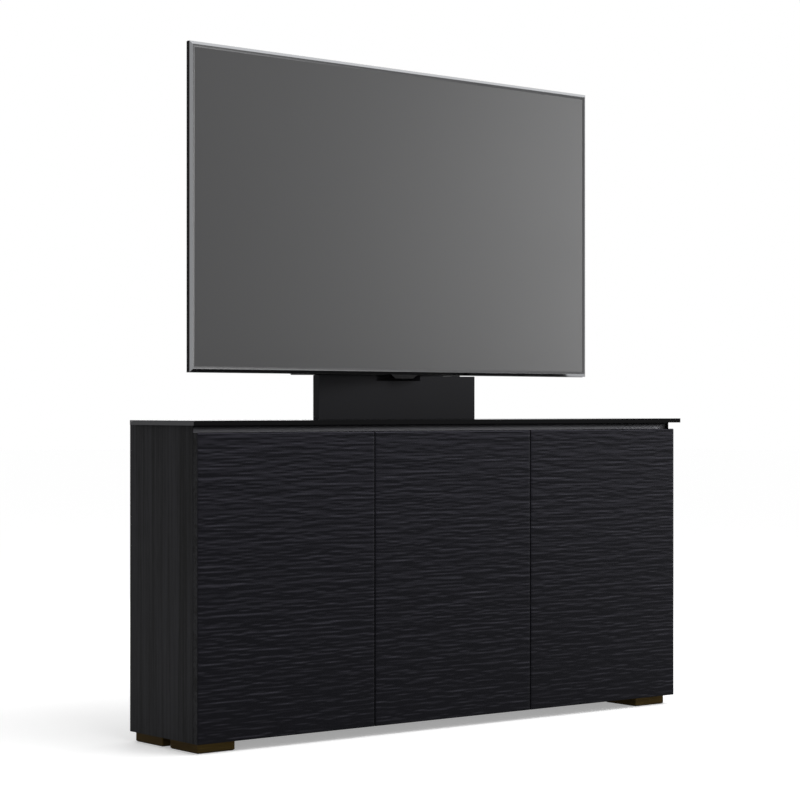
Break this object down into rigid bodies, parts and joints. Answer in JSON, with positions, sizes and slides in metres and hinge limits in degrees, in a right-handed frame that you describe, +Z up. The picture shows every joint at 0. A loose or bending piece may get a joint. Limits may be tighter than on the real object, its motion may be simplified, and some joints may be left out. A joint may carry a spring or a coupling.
{
  "type": "media cabinet with tv mount",
  "caption": "Low media cabinet with carved doors, a black glass top and an upright rear mount that carries a flat screen that swivels and tilts.",
  "frame": {"origin": "on the floor, under the centre of the bounding box", "axes": "+X to the right seen from the front, +Y to the back, +Z up"},
  "size_m": [1.687, 0.352, 1.797],
  "materials": {
    "black_wood": "black stained veneer with an upright grain, satin lacquer",
    "carved_wood": "black stained wood carved into fine level ripples, satin lacquer",
    "black_glass": "opaque black glass, polished, with satin edges",
    "clear_pads": "clear soft pads and washers",
    "satin_aluminium": "satin anodised extrusion",
    "bronze_metal": "dark bronze, brushed, satin",
    "black_plastic": "fine textured black moulding",
    "zinc_steel": "zinc plated",
    "coated_steel": "black powder coat, fine texture",
    "bright_trim": "bright satin extrusion",
    "bezel_plastic": "gloss black",
    "screen_glass": "unlit display with a smooth grey face"
  },
  "bodies": {
    "cabinet": {"left_side_panel": "black_wood", "right_side_panel": "black_wood", "left_divider": "black_wood", "right_divider": "black_wood", "bottom_panel": "black_wood", "sub_top_panel": "black_wood", "glass_top": "black_glass", "glass_pads": "clear_pads", "grip_rail": "satin_aluminium", "left_back_panel": "black_wood", "centre_back_panel": "black_wood", "right_back_panel": "black_wood", "port_liners": "black_plastic", "left_shelf": "black_wood", "centre_shelf": "black_wood", "right_shelf": "black_wood", "shelf_pins": "zinc_steel", "front_left_foot": "bronze_metal", "front_right_foot": "bronze_metal", "rear_left_foot": "bronze_metal", "rear_right_foot": "bronze_metal", "foot_pads": "black_plastic", "foot_screws": "zinc_steel", "hinge_arms": "zinc_steel", "door_bumpers": "clear_pads", "upper_mount_rail": "black_wood", "lower_mount_rail": "black_wood", "left_post": "coated_steel", "right_post": "coated_steel", "post_caps": "black_plastic", "post_bolts": "zinc_steel", "mount_cover": "coated_steel", "duct_back": "coated_steel", "cover_brackets": "coated_steel", "cross_plate": "coated_steel", "cross_plate_bolts": "zinc_steel", "pivot_bracket": "coated_steel", "pivot_pin": "zinc_steel", "pivot_washers": "clear_pads"},
    "door_left": {"left_door": "carved_wood", "left_hinge_cups": "zinc_steel"},
    "door_centre": {"centre_door": "carved_wood", "centre_hinge_cups": "zinc_steel"},
    "door_right": {"right_door": "carved_wood", "right_hinge_cups": "zinc_steel"},
    "swivel_head": {"swivel_beam": "coated_steel"},
    "screen_head": {"left_arm": "coated_steel", "right_arm": "coated_steel", "arm_washers": "clear_pads", "arm_bolts": "zinc_steel", "screen_trim": "bright_trim", "screen_bezel": "bezel_plastic", "screen_panel": "screen_glass", "screen_chassis": "black_plastic", "screen_rear_cover": "black_plastic", "socket_block": "black_plastic", "sensor_pod": "black_plastic"},
    "knob_left": {"left_tilt_knob": "black_plastic"},
    "knob_right": {"right_tilt_knob": "black_plastic"},
    "key_body": {"power_key": "satin_aluminium"}
  },
  "joints": [
    {"name": "left_door_hinge", "type": "hinge", "parent": "cabinet", "child": "door_left", "pos_m": [-0.8255, -0.164, 0.4135], "axis": [0, 0, -1], "range_deg": [0, 95]},
    {"name": "centre_door_hinge", "type": "hinge", "parent": "cabinet", "child": "door_centre", "pos_m": [-0.2695, -0.164, 0.4135], "axis": [0, 0, -1], "range_deg": [0, 95]},
    {"name": "right_door_hinge", "type": "hinge", "parent": "cabinet", "child": "door_right", "pos_m": [0.8255, -0.164, 0.4135], "axis": [0, 0, 1], "range_deg": [0, 95]},
    {"name": "screen_swivel", "type": "hinge", "parent": "cabinet", "child": "swivel_head", "pos_m": [0, 0.128, 1.375], "axis": [0, 0, 1], "range_deg": [-16, 4]},
    {"name": "screen_tilt", "type": "hinge", "parent": "swivel_head", "child": "screen_head", "pos_m": [0.00146, 0.11408, 1.375], "axis": [0.9945, 0.1045, 0], "range_deg": [-5, 5]},
    {"name": "left_knob_turn", "type": "hinge", "parent": "screen_head", "child": "knob_left", "pos_m": [-0.21186, 0.09166, 1.375], "axis": [-0.9945, -0.1045, 0], "range_deg": [0, 180]},
    {"name": "right_knob_turn", "type": "hinge", "parent": "screen_head", "child": "knob_right", "pos_m": [0.21479, 0.1365, 1.375], "axis": [0.9945, 0.1045, 0], "range_deg": [0, 180]},
    {"name": "power_key_press", "type": "slide", "parent": "screen_head", "child": "key_body", "axis": [0, 0, 1], "range_m": [0, 0.001], "stiffness_N_per_m": 300, "springref_m": -0.001}
  ]
}
